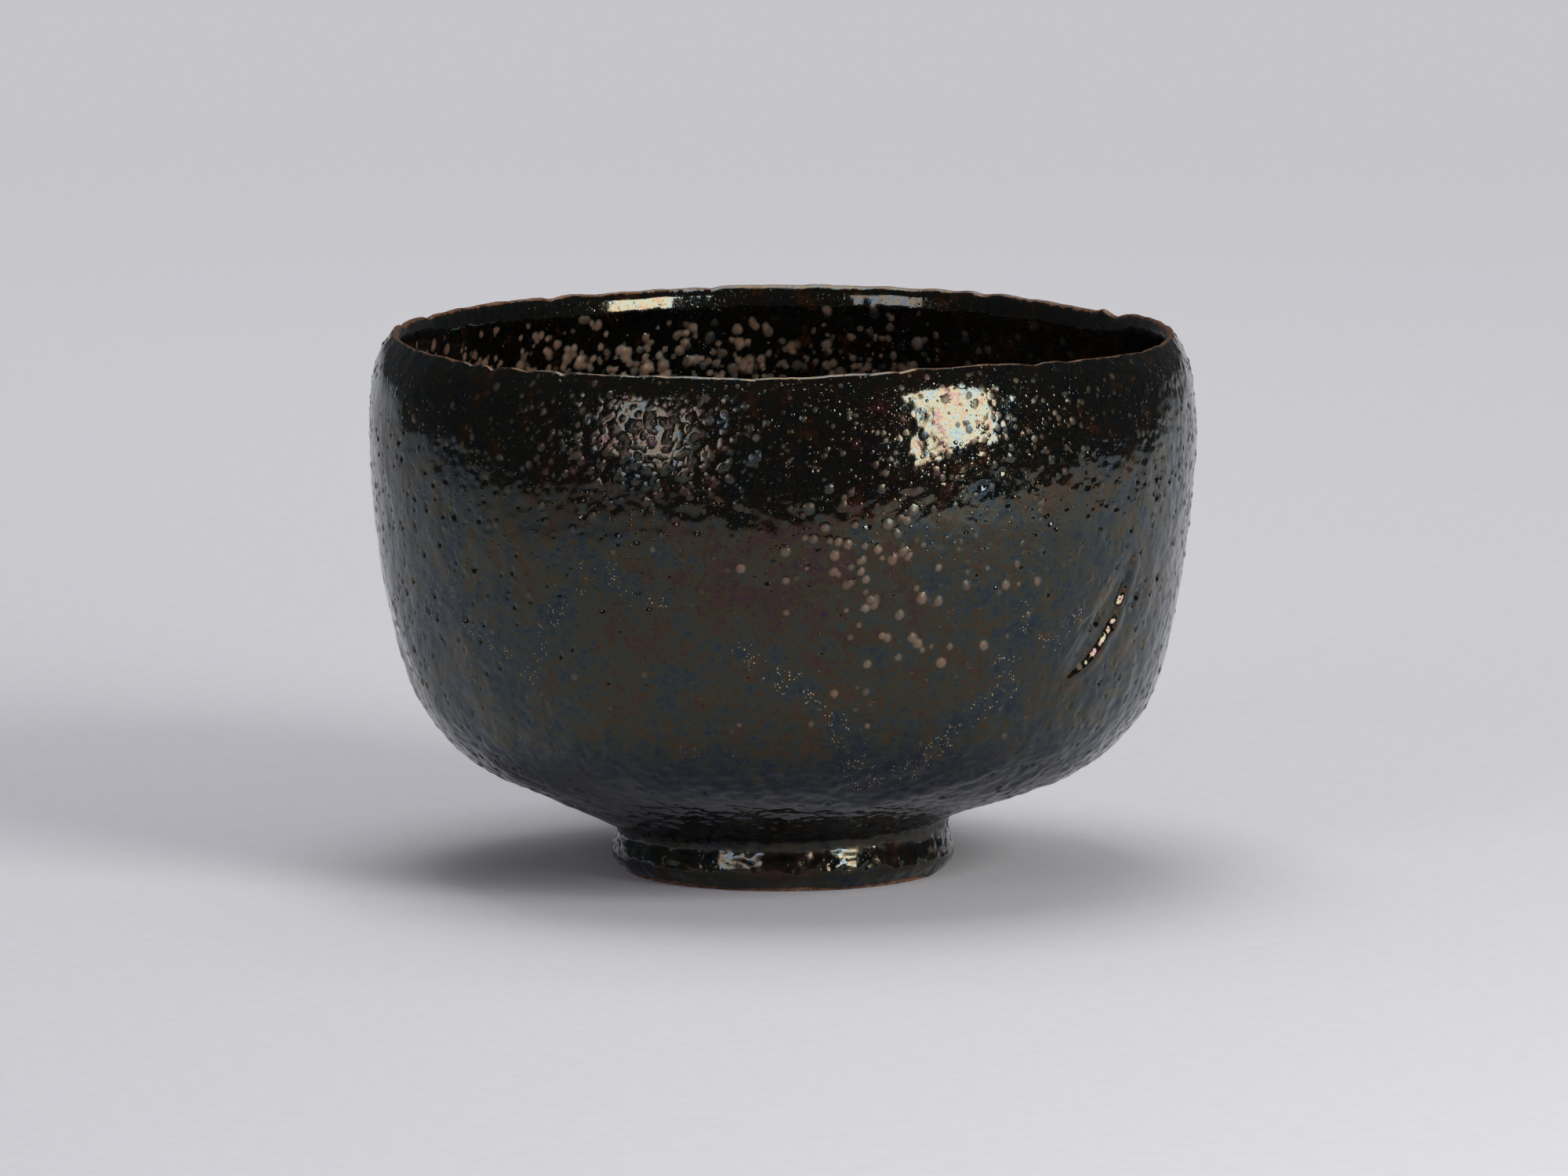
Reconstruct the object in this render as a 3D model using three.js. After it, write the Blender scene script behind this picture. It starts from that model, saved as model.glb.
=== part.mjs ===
// A hand-formed bowl for whisked tea: one piece of fired clay with a carved foot ring, under a thick
// black glaze. The inside and the outside are glazed apart and meet on the lip, and a third coat
// lines the recess of the foot. Only the ring that the bowl stands on is bare clay.
//
// Units are millimetres. The table is the plane Z = 0, the Z axis runs up through the middle of the
// foot, and the front of the bowl faces -Y.
import * as THREE from "three";

// Driving dimensions.
const LIP_HEIGHT = 80;
const LIP_RADIUS = 57.1;
const BELLY_RADIUS = 60.7;
const BELLY_HEIGHT = 65;
const FOOT_RADIUS = 25.3;
const FOOT_NECK_HEIGHT = 6.2;
const CONTACT_OUTER_RADIUS = 23.2;
const CONTACT_INNER_RADIUS = 20;
const GLAZE_EDGE_HEIGHT = 0.7;
const RECESS_HEIGHT = 6;
const FLOOR_HEIGHT = 12.6;
const WALL_THICKNESS = 4.5;
const GLAZE_THICKNESS = 0.6;
// In the real bowl glaze and clay are fused. These gaps keep them apart as solids.
const FUSED_GAP = 0.1;
const CREST_GAP = 0.3;

// How finely the turned shapes are divided.
const COLUMNS = 48;
const OUTSIDE_ROWS = 30;
const INSIDE_ROWS = 18;
const RECESS_ROWS = 8;

const { degToRad, smoothstep } = THREE.MathUtils;
const point = (radius, height) => new THREE.Vector2(radius, height);

// Outside of the glazed bowl, from the lower edge of the foot up to the crest of the lip.
const outside = new THREE.SplineCurve([
  point(CONTACT_OUTER_RADIUS + 0.9, GLAZE_EDGE_HEIGHT),
  point(FOOT_RADIUS - 0.1, FOOT_NECK_HEIGHT * 0.4),
  point(FOOT_RADIUS - 0.45, FOOT_NECK_HEIGHT * 0.75),
  point(FOOT_RADIUS - 0.9, FOOT_NECK_HEIGHT),
  point(FOOT_RADIUS - 0.3, FOOT_NECK_HEIGHT + 1.3),
  point(FOOT_RADIUS + 1.9, FOOT_NECK_HEIGHT + 2.5),
  point(33.7, 11.4),
  point(40.2, 14),
  point(47, 17.5),
  point(54, 25.2),
  point(57.5, 36.5),
  point(59.6, 50),
  point(BELLY_RADIUS, BELLY_HEIGHT),
  point(BELLY_RADIUS - 0.5, 73.5),
  point(LIP_RADIUS + 1.7, LIP_HEIGHT - 2.2),
  point(LIP_RADIUS, LIP_HEIGHT),
]).getPoints(OUTSIDE_ROWS);

// Inside of the glazed bowl, from the crest of the lip down to the middle of the floor, which has a
// shallow round pool for the last of the tea.
const inside = new THREE.SplineCurve([
  point(LIP_RADIUS, LIP_HEIGHT),
  point(LIP_RADIUS - 1.4, LIP_HEIGHT - 2),
  point(BELLY_RADIUS - WALL_THICKNESS - 0.2, 71),
  point(BELLY_RADIUS - WALL_THICKNESS, 60),
  point(54.4, 46),
  point(51.6, 34),
  point(45, 23.6),
  point(32, 17),
  point(17, FLOOR_HEIGHT + 1.5),
  point(11, FLOOR_HEIGHT + 0.2),
  point(0, FLOOR_HEIGHT),
]).getPoints(INSIDE_ROWS);

// Recess under the foot, from its middle, which keeps a small carved cone, out to the standing ring.
const recess = new THREE.SplineCurve([
  point(0, RECESS_HEIGHT - 1.1),
  point(4, RECESS_HEIGHT - 0.3),
  point(10, RECESS_HEIGHT),
  point(16, RECESS_HEIGHT - 0.9),
  point(18.3, RECESS_HEIGHT * 0.5),
  point(CONTACT_INNER_RADIUS - 1.1, GLAZE_EDGE_HEIGHT),
]).getPoints(RECESS_ROWS);

// A copy of an outline moved to its left by a distance, with points on the axis kept on it.
function inset(outline, distance) {
  return outline.map((here, i) => {
    const before = outline[Math.max(i - 1, 0)];
    const after = outline[Math.min(i + 1, outline.length - 1)];
    const along = after.clone().sub(before).normalize();
    const radius = here.x - along.y * distance;
    const height = here.y + along.x * distance;
    return point(here.x === 0 ? 0 : Math.max(radius, 0), height);
  });
}

// The whole glazed section, in which the crest of the lip is the last point of the outside.
const section = [...outside, ...inside.slice(1)];
const crest = outside.length - 1;

// The clay lies under the glaze everywhere except on the flat ring that touches the table.
function clayOutline() {
  const depth = GLAZE_THICKNESS + FUSED_GAP;
  return [
    ...inset(recess, depth),
    point(CONTACT_INNER_RADIUS, 0),
    point(CONTACT_OUTER_RADIUS, 0),
    ...inset(section, depth),
  ];
}

// One side of the section, cut back by half the gap between the two coats that meet on the crest.
function upToCrest(skin, side) {
  const part = side === "outside" ? skin.slice(0, crest + 1) : skin.slice(crest).reverse();
  const end = part.pop();
  const before = part.at(-1);
  return [...part, end.clone().lerp(before, CREST_GAP / 2 / end.distanceTo(before))];
}

// A coat of glaze runs along its visible skin and comes back along the clay.
function outerCoat() {
  const skin = upToCrest(section, "outside");
  const back = upToCrest(inset(section, GLAZE_THICKNESS), "outside");
  return [...skin, ...back.reverse(), skin[0].clone()];
}

function innerCoat() {
  const skin = upToCrest(section, "inside");
  const back = upToCrest(inset(section, GLAZE_THICKNESS), "inside");
  return [...back, ...skin.reverse()];
}

function recessCoat() {
  return [...recess, ...inset(recess, GLAZE_THICKNESS).reverse()];
}

// How the wall goes out of round towards the top: turns per circle, size of the swelling in mm, and
// the angle of its crest in degrees.
const SWELLINGS = [
  { turns: 1, swell: 0.2, crest: 0 },
  { turns: 2, swell: 0.35, crest: 0 },
  { turns: 3, swell: 0.3, crest: 200 },
  { turns: 4, swell: 0.15, crest: 42 },
];
// Where the lip dips, or rises if the drop is below zero, and over how many degrees.
const LIP_DIPS = [
  { angle: -134, drop: 0.8, spread: 30 },
  { angle: -93, drop: 0.55, spread: 18 },
  { angle: -62, drop: -0.55, spread: 20 },
  { angle: -12, drop: 0.45, spread: 24 },
  { angle: 36, drop: 0.95, spread: 12 },
  { angle: 88, drop: -0.2, spread: 30 },
  { angle: 116, drop: 0.3, spread: 14 },
  { angle: 154, drop: 0.4, spread: 20 },
];
// Flats pressed into the wall: the angle and height of the middle, the depth, and the spread in mm.
const PRESSED_FLATS = [
  { angle: -36, height: 41, depth: 0.45, spread: 8 },
  { angle: 191, height: 28, depth: 0.6, spread: 8 },
  { angle: 96, height: 38, depth: 0.8, spread: 12 },
  { angle: 20, height: 24, depth: 0.45, spread: 10 },
];
// The wall leans in on one side between two heights, and stays `inwards` mm further in above them.
const LEAN = { angle: -84, inwards: 1.95, spread: 54, from: 56, to: 77 };
// The underside hangs lower on one side of the foot, between two heights and most at the middle one.
const HANG = { angle: 180, drop: 0.8, from: 3, middle: 8, to: 14.5 };

const bell = (away) => Math.exp(-away * away);
const total = (list, amount) => list.reduce((sum, item) => sum + amount(item), 0);

// How far an angle in radians lies from one in degrees, by the shorter way round.
function turnFrom(degrees, angle) {
  const turn = angle - degToRad(degrees);
  return Math.atan2(Math.sin(turn), Math.cos(turn));
}

function swellAt(angle) {
  return total(SWELLINGS, (s) => s.swell * Math.cos(s.turns * turnFrom(s.crest, angle)));
}

function dipAt(angle) {
  return total(LIP_DIPS, (dip) => dip.drop * bell(turnFrom(dip.angle, angle) / degToRad(dip.spread)));
}

function pressedAt(angle, radius, height) {
  return total(PRESSED_FLATS, (flat) => {
    const across = radius * turnFrom(flat.angle, angle);
    return flat.depth * bell(Math.hypot(across, height - flat.height) / flat.spread);
  });
}

function leanAt(angle, height) {
  const share = smoothstep(height, LEAN.from, LEAN.to);
  return LEAN.inwards * share * bell(turnFrom(LEAN.angle, angle) / degToRad(LEAN.spread));
}

function hangAt(angle, radius, height) {
  const { from, middle, to } = HANG;
  const share = smoothstep(height, from, middle) - smoothstep(height, middle, to);
  const outside = smoothstep(radius, CONTACT_INNER_RADIUS, FOOT_RADIUS);
  return HANG.drop * share * outside * Math.cos(turnFrom(HANG.angle, angle));
}

// Moves every point of a turned shape as the potter's hands did, in and out and up and down but not
// round the axis. The wall goes out of round more and more towards the lip, and the foot stays true.
function formByHand(geometry) {
  const position = geometry.getAttribute("position");
  for (let i = 0; i < position.count; i++) {
    const radius = Math.hypot(position.getX(i), position.getY(i));
    const height = position.getZ(i);
    const angle = Math.atan2(position.getY(i), position.getX(i));
    const upper = smoothstep(height, FOOT_NECK_HEIGHT, LIP_HEIGHT);
    const outer = Math.min(radius / BELLY_RADIUS, 1);
    const inwards = pressedAt(angle, radius, height) + leanAt(angle, height);
    const moved = radius + outer * (upper * swellAt(angle) - inwards);
    const dropped = outer * upper ** 3 * dipAt(angle) + hangAt(angle, radius, height);
    position.setX(i, moved * Math.cos(angle));
    position.setY(i, moved * Math.sin(angle));
    position.setZ(i, height - dropped);
  }
  geometry.computeVertexNormals();
}

// Turns an outline round the Z axis and gives it the potter's touch.
function turnedPiece(name, outline, color, roughness) {
  const geometry = new THREE.LatheGeometry(outline, COLUMNS);
  geometry.rotateX(Math.PI / 2);
  formByHand(geometry);
  const material = new THREE.MeshStandardMaterial({ color, roughness, metalness: 0 });
  const mesh = new THREE.Mesh(geometry, material);
  mesh.name = name;
  return mesh;
}

const bowl = new THREE.Group();
bowl.add(
  turnedPiece("clay_body", clayOutline(), 0x8a5a3c, 0.85),
  turnedPiece("outer_glaze", outerCoat(), 0x14120f, 0.22),
  turnedPiece("inner_glaze", innerCoat(), 0x17120f, 0.25),
  turnedPiece("foot_recess_glaze", recessCoat(), 0x12100f, 0.3),
);

export default bowl;
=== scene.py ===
# A black-glazed tea bowl in a small studio. The CAD model is the frame: its sections are read back
# from the imported solids, filled in finely, given the marks of the hand and covered with the relief of
# the glaze.
#
# Lengths inside this script are millimetres unless a name says metres. Blender gets metres.
import math

import bpy
import numpy as np
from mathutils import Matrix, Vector


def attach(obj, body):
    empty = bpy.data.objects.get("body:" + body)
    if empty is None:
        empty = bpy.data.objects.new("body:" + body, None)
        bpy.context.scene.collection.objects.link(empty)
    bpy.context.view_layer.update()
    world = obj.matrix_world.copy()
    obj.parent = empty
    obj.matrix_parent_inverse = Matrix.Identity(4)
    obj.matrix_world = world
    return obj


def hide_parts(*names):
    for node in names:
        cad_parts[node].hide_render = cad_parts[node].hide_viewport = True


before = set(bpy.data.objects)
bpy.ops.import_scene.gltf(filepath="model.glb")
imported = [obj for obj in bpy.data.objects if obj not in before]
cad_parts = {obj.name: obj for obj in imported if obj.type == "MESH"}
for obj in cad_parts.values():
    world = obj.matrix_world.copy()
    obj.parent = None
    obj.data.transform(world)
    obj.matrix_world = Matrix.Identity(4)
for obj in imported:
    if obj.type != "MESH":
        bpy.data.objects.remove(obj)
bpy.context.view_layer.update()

MM = 0.001
SEED = 1607
CAD_COLUMNS = 48
DETAIL = 0.3  # spacing of the vertices on a visible skin
HIDDEN_DETAIL = 3 * DETAIL
COLUMN_BASE = 20  # every ring has this many vertices, doubled a whole number of times
COAT = 0.6  # thickness of the glaze
CLAY_DEPTH = 0.7  # depth of the clay's surface under the skin of the glaze
BELLY_RADIUS = 60.0  # where the marks on the wall are laid out
LIP_RADIUS = 57.0  # where the nicks of the lip are laid out
FOOT_RADIUS = 20.0  # where the waves of the foot's edge are laid out

# The camera, in metres, with its focal length in mm.
CAMERA_PLACE = Vector((0.0002, -2.0, 0.314))
CAMERA_AIM = Vector((0.0002, 0, 0.0416))
CAMERA_LENS = 314.4

rng = np.random.default_rng(SEED)


# ---------------------------------------------------------------- camera

def add_camera():
    """A long lens that looks down at the bowl by about 8 degrees, from 2 m in front of it."""
    data = bpy.data.cameras.new("camera")
    data.lens = CAMERA_LENS
    data.sensor_width = 36
    data.clip_end = 20
    camera = bpy.data.objects.new("camera", data)
    camera.location = CAMERA_PLACE
    camera.rotation_euler = (CAMERA_AIM - CAMERA_PLACE).to_track_quat("-Z", "Y").to_euler()
    bpy.context.scene.collection.objects.link(camera)
    bpy.context.scene.camera = camera


# ---------------------------------------------------------------- sections read from the CAD solids

def merged_points(node):
    """A CAD node's corners in mm, and its edges as pairs of corner numbers."""
    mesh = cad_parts[node].data
    raw = np.array([v.co for v in mesh.vertices]) / MM
    points, index = np.unique(raw.round(3), axis=0, return_inverse=True)
    edges = index.ravel()[np.array([e.vertices for e in mesh.edges])]
    return points, edges


def visible_side(node, from_top):
    """The visible side of a coat of glaze, as columns x rows x (radius, height).

    Each column of a turned solid is a chain of corners. It starts at the highest or the lowest corner
    on the axis, or in a ring with no corner on the axis at its own lowest corner, and the visible
    side is the first half of it.
    """
    points, edges = merged_points(node)
    outline = np.stack([np.hypot(points[:, 0], points[:, 1]), points[:, 2]], axis=1)
    turn = np.arctan2(points[:, 1], points[:, 0]) * CAD_COLUMNS / (2 * math.pi)
    column = np.where(outline[:, 0] < 0.05, -1, np.round(turn).astype(int) % CAD_COLUMNS)
    links = {i: set() for i in range(len(points))}
    for a, b in edges:
        if column[a] == column[b] or -1 in (column[a], column[b]):
            links[a].add(b)
            links[b].add(a)
    chains = []
    for number in range(CAD_COLUMNS):
        allowed = set(np.flatnonzero((column == number) | (column == -1)))
        starts = [i for i in allowed if column[i] == -1] or list(allowed)
        chain = [sorted(starts, key=lambda i: outline[i, 1])[-1 if from_top else 0]]
        while True:
            here = outline[chain[-1]]
            ahead = [i for i in links[chain[-1]] & allowed if i not in chain]
            if not ahead:
                break
            chain.append(max(ahead, key=lambda i: np.hypot(*(outline[i] - here))))
        chains.append(outline[chain[: len(chain) // 2]])
    return np.array(chains)


class Profile:
    """A turned skin: the same outline seen at evenly spaced azimuths, with the arc length along it."""

    def __init__(self, section):
        self.section = section
        steps = np.hypot(*np.diff(section, axis=1).transpose(2, 0, 1)).mean(axis=0)
        self.knots = np.concatenate([[0], np.cumsum(steps)])
        self.length = self.knots[-1]

    def at(self, arcs, columns):
        """Radius and height, and their slopes along the outline, as columns x arcs x 2."""
        waves = np.fft.rfft(self.section, axis=0)
        section = np.fft.irfft(waves, columns, axis=0) * columns / len(self.section)
        slopes = np.gradient(section, self.knots, axis=1)
        i = np.clip(np.searchsorted(self.knots, arcs, side="right") - 1, 0, len(self.knots) - 2)
        gap = (self.knots[i + 1] - self.knots[i])[:, None]
        t = (np.asarray(arcs)[:, None] - self.knots[i][:, None]) / gap
        p, q = section[:, i], section[:, i + 1]
        m, n = slopes[:, i] * gap, slopes[:, i + 1] * gap
        value = (2 * t**3 - 3 * t**2 + 1) * p + (t**3 - 2 * t**2 + t) * m
        value += (3 * t**2 - 2 * t**3) * q + (t**3 - t**2) * n
        slope = (6 * t**2 - 6 * t) * (p - q) + (3 * t**2 - 4 * t + 1) * m + (3 * t**2 - 2 * t) * n
        return value, slope / gap

    def radius(self, arc):
        """The mean radius at one arc length."""
        return float(self.at([arc], CAD_COLUMNS)[0][..., 0].mean())


outer_side = visible_side("outer_glaze", from_top=False)
inner_side = visible_side("inner_glaze", from_top=True)[:, ::-1]
glaze = Profile(np.concatenate([outer_side, inner_side], axis=1))
recess = Profile(visible_side("foot_recess_glaze", from_top=False))
CREST = glaze.knots[outer_side.shape[1] - 1 : outer_side.shape[1] + 1].mean()

clay_points, _ = merged_points("clay_body")
sole_points = clay_points[clay_points[:, 2] < 0.02]
sole_radii = np.hypot(sole_points[:, 0], sole_points[:, 1])
sole_section = np.array([[[sole_radii.min(), 0], [sole_radii.max(), 0]]])
sole = Profile(np.repeat(sole_section, CAD_COLUMNS, axis=0))


# ---------------------------------------------------------------- rings and meshes

def column_count(radius, spacing):
    """How many vertices a ring gets, so that they are about `spacing` apart. On the axis it is 1."""
    if radius < spacing / 4:
        return 1
    doublings = math.ceil(math.log2(max(2 * math.pi * radius / spacing / COLUMN_BASE, 1)))
    return COLUMN_BASE * 2**doublings


class Rings:
    """Rings of vertices laid on a profile at some arc lengths, at one depth under the skin."""

    def __init__(self, profile, arcs, counts, depth=0.0):
        self.profile = profile
        self.arcs = np.asarray(arcs, float)
        self.counts = np.asarray(counts)
        self.starts = np.concatenate([[0], np.cumsum(self.counts)])
        self.arc = np.repeat(self.arcs, self.counts)
        self.depth = depth
        outline = np.zeros((self.starts[-1], 2))
        slope = np.zeros((self.starts[-1], 2))
        self.angle = np.zeros(self.starts[-1])
        for count in np.unique(self.counts):
            chosen = np.flatnonzero(self.counts == count)
            step = math.ceil(CAD_COLUMNS / count)
            values, slopes = profile.at(self.arcs[chosen], count * step)
            for k, ring in enumerate(chosen):
                part = slice(self.starts[ring], self.starts[ring + 1])
                outline[part], slope[part] = values[::step, k], slopes[::step, k]
                self.angle[part] = np.arange(count) * 2 * math.pi / count
        slope /= np.hypot(slope[:, 0], slope[:, 1])[:, None] + 1e-9
        self.radius, self.height = outline.T
        around = np.stack([np.cos(self.angle), np.sin(self.angle)], axis=1)
        self.position = np.column_stack([self.radius[:, None] * around, self.height])
        self.normal = np.column_stack([slope[:, 1:] * around, -slope[:, 0]])
        self.relief = np.zeros(self.starts[-1])

    def placed(self):
        """Vertices in mm, with the relief added and the depth taken off along the normal."""
        return self.position + self.normal * (self.relief - self.depth)[:, None]

    def cut(self, first, last):
        """The rings from one number to another, with the vertices where they are now."""
        part = slice(self.starts[first], self.starts[last + 1])
        piece = Rings(self.profile, self.arcs[first : last + 1], self.counts[first : last + 1])
        piece.position = self.placed()[part]
        piece.part = part
        return piece


def fine_arcs(start, end, spacing=DETAIL):
    steps = max(2, round(abs(end - start) / spacing))
    return np.linspace(start, end, steps + 1)


def hidden_rings(profile, start, end, depth, first=1, last=1):
    """Coarser rings under a skin, with more vertices towards an end that joins a finer ring."""
    arcs = fine_arcs(start, end, HIDDEN_DETAIL)
    counts = []
    for i, arc in enumerate(arcs):
        wanted = column_count(profile.radius(arc), HIDDEN_DETAIL)
        # A ring may have at most twice as many vertices as the next one.
        counts.append(max(wanted, first // 2**i, last // 2 ** (len(arcs) - 1 - i)))
    return follow_hand(Rings(profile, arcs, counts, depth))


def bridge(a, na, b, nb):
    """Faces between two rings that start at vertices a and b, of equal, half or double count."""
    if na == 1:
        j = np.arange(nb)
        return np.stack([np.full(nb, a), b + (j + 1) % nb, b + j], axis=1)
    if nb == 1:
        j = np.arange(na)
        return np.stack([a + j, a + (j + 1) % na, np.full(na, b)], axis=1)
    j = np.arange(min(na, nb))
    if na == nb:
        k = (j + 1) % na
        return np.stack([a + j, a + k, b + k, b + j], axis=1)
    k = (j + 1) % min(na, nb)
    if na == 2 * nb:
        low = np.stack([a + 2 * j, a + 2 * j + 1, b + j], axis=1)
        middle = np.stack([a + 2 * j + 1, b + k, b + j], axis=1)
        high = np.stack([a + 2 * j + 1, a + (2 * j + 2) % na, b + k], axis=1)
    elif nb == 2 * na:
        low = np.stack([a + j, b + 2 * j + 1, b + 2 * j], axis=1)
        middle = np.stack([a + j, a + k, b + 2 * j + 1], axis=1)
        high = np.stack([a + k, b + (2 * j + 2) % nb, b + 2 * j + 1], axis=1)
    else:
        raise ValueError(f"rings of {na} and {nb} vertices cannot be joined")
    return np.concatenate([low, middle, high])


def fill_mesh(mesh, vertices, faces):
    """Gives a mesh its vertices and its faces, which come as arrays of four or of three corners."""
    sizes = np.concatenate([np.full(len(f), f.shape[1]) for f in faces])
    corners = np.concatenate([f.ravel() for f in faces])
    mesh.vertices.add(len(vertices))
    mesh.vertices.foreach_set("co", vertices.astype(np.float32).ravel())
    mesh.loops.add(len(corners))
    mesh.loops.foreach_set("vertex_index", corners.astype(np.int32))
    mesh.polygons.add(len(sizes))
    mesh.polygons.foreach_set("loop_start", (np.cumsum(sizes) - sizes).astype(np.int32))
    mesh.update(calc_edges=True)


def closed_mesh(name, parts, joined=False):
    """One smooth mesh from stacks of rings, in which the last ring may be joined to the first."""
    counts = np.concatenate([p.counts for p in parts])
    starts = np.concatenate([[0], np.cumsum(counts)])
    pairs = [(i, i + 1) for i in range(len(counts) - 1)]
    if joined:
        pairs.append((len(counts) - 1, 0))
    faces = [bridge(starts[i], counts[i], starts[k], counts[k]) for i, k in pairs]
    mesh = bpy.data.meshes.new(name)
    fill_mesh(mesh, np.concatenate([p.placed() for p in parts]) * MM, faces)
    mesh.polygons.foreach_set("use_smooth", np.ones(len(mesh.polygons), bool))
    mark_corners(mesh, parts, counts)
    obj = bpy.data.objects.new(name, mesh)
    bpy.context.scene.collection.objects.link(obj)
    return obj


def mark_corners(mesh, parts, counts):
    """Makes the edges sharp along the rings where one stack of rings turns into the next."""
    ring_of = np.repeat(np.arange(len(counts)), counts)
    ends = np.cumsum([len(p.counts) for p in parts])
    corners = set(ends - 1) | set(ends % len(counts))
    edges = np.zeros(len(mesh.edges) * 2, np.int32)
    mesh.edges.foreach_get("vertices", edges)
    first, second = ring_of[edges.reshape(-1, 2)].T
    sharp = (first == second) & np.isin(first, list(corners)) & (counts[first] > 1)
    mesh.attributes.new("sharp_edge", "BOOLEAN", "EDGE").data.foreach_set("value", sharp)


def add_attribute(obj, name, parts, skin, values):
    """A number for each vertex of the visible skin of a mesh, and 0 on its other parts."""
    data = [values if part is skin else np.zeros(len(part.arc)) for part in parts]
    attribute = obj.data.attributes.new(name, "FLOAT", "POINT")
    attribute.data.foreach_set("value", np.concatenate(data).astype(np.float32))


# ---------------------------------------------------------------- noise and shapes

_directions = rng.normal(size=(256, 3))
_directions /= np.linalg.norm(_directions, axis=1)[:, None]
_shuffle = rng.permutation(256)


def noise(points, size, shift=0.0):
    """Smooth gradient noise from about -1 to 1, with features of the given size in mm."""
    p = points / size + shift
    cell = np.floor(p).astype(np.int64)
    f = p - cell
    w = f**3 * (f * (f * 6 - 15) + 10)
    total = np.zeros(len(p))
    for corner in np.ndindex(2, 2, 2):
        x, y, z = ((cell + corner) & 255).T
        way = _directions[_shuffle[(_shuffle[(_shuffle[x] + y) & 255] + z) & 255]]
        weight = np.prod(np.where(corner, w, 1 - w), axis=1)
        total += weight * np.sum(way * (f - corner), axis=1)
    return total * 1.8


def bell(away):
    return np.exp(-(away**2))


def smoothstep(low, high, x):
    t = np.clip((x - low) / (high - low), 0, 1)
    return t * t * (3 - 2 * t)


def turn_from(degrees, angle):
    """How far angles in radians lie from one in degrees, by the shorter way round."""
    turn = angle - math.radians(degrees)
    return np.arctan2(np.sin(turn), np.cos(turn))


def circle_points(radius, angle):
    return radius * np.column_stack([np.cos(angle), np.sin(angle), 0 * angle])


# ---------------------------------------------------------------- marks of the hand and the spatula

# The scoop of a spatula: the angle and height of its middle, how far its long side leans from the
# upright in degrees, half its length, how far its rim bows out at the middle, and its depth.
SCOOP_ANGLE, SCOOP_HEIGHT, SCOOP_LEAN = -37.3, 41.9, 35.5
SCOOP_HALF_LENGTH, SCOOP_BOW, SCOOP_DEPTH = 11.5, 3.6, 0.62
BANK_WIDTH, BANK_RISE = 0.95, 0.42


def scoop(angle, height):
    """The long scoop of a spatula on the right of the front: flat, with a steep bank on its right."""
    across = BELLY_RADIUS * turn_from(SCOOP_ANGLE, angle)
    up = height - SCOOP_HEIGHT
    lean = math.radians(SCOOP_LEAN)
    along = across * math.sin(lean) + up * math.cos(lean)
    side = across * math.cos(lean) - up * math.sin(lean)
    place = np.column_stack([along, side, side])
    side = side + 0.2 * noise(place, 2.4) + 0.16 * noise(place, 0.9, 3.3)
    stretch = np.clip(1 - (along / SCOOP_HALF_LENGTH) ** 2, 0, 1)
    from_rim = side - SCOOP_BOW * stretch + 0.5
    # The flat floor turns up quickly into the bank, which meets the wall in a crisp rim.
    on_bank = from_rim + BANK_WIDTH
    rise = BANK_RISE * (on_bank + np.sqrt(on_bank**2 + 0.01)) - SCOOP_DEPTH * stretch**0.6
    scooped = 0.5 * (rise - np.sqrt(rise**2 + 0.003))
    scooped = scooped * (0.4 * smoothstep(-3.7, -2.9, side) + 0.6 * smoothstep(-2.9, -0.6, side))
    rim = 0.16 * bell((from_rim - 0.5) / 0.9)
    fade = 1 - smoothstep(9.5, 12.5, np.abs(along))
    return fade * (scooped + rim)


# Ridges left by trimming, or grooves where the size is below zero: the angle and height of the
# middle, the slope in degrees, the length, the width and the size.
RIDGES = [
    (-66, 17.5, 14, 16, 1.6, 0.35),
    (-42, 41.5, 45, 1.3, 0.4, -0.3),
    (-33.5, 45, 62, 1.4, 0.4, -0.3),
    (-118, 20, -20, 18, 2.5, 0.2),
    (-30, 60, 70, 20, 3, 0.12),
    (150, 30, 35, 24, 3, 0.3),
    (60, 22, -12, 26, 2, 0.3),
    (100, 45, 60, 20, 4, 0.25),
]
# Shallow presses of a finger, or swellings where the depth is below zero: angle, height, width,
# tallness and depth.
PRESSES = [
    (-172, 30, 5, 9, 0.55),
    (-150, 44, 12, 14, 0.25),
    (-8, 42, 9, 16, 0.3),
    (120, 50, 9, 7, 0.5),
    (64, 40, 7, 10, 0.45),
    (-133, 4, 4, 2.5, 0.5),
    (-151, 6, 5, 2, 0.35),
    (-104, 3, 7, 2, 0.2),
    (-38, 6, 6, 2, 0.3),
    (40, 4, 6, 2.5, 0.4),
    (130, 5, 7, 2, 0.35),
    (-67, 4.4, 6.5, 3, -0.34),
    (-90, 78.4, 15, 0.9, 0.15),
    (-71, 69, 13, 3, -0.1),
    (-112, 69.5, 14, 4.5, -0.2),
    (-38, 68, 14, 4.5, -0.18),
    (-143, 69, 12, 4, -0.08),
]


def marks(angle, height):
    """How far the marks of the hand move the outside of the bowl, outwards from the CAD model."""
    moved = scoop(angle, height)
    for degrees, level, slope, length, width, size in RIDGES:
        across, up = BELLY_RADIUS * turn_from(degrees, angle), height - level
        lean = math.radians(slope)
        along = across * math.cos(lean) + up * math.sin(lean)
        side = up * math.cos(lean) - across * math.sin(lean)
        moved = moved + size * bell(along / length) * bell(side / width)
    for degrees, level, width, tallness, depth in PRESSES:
        across, up = BELLY_RADIUS * turn_from(degrees, angle), height - level
        moved = moved - depth * bell(across / width) * bell(up / tallness)
    return moved


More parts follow.
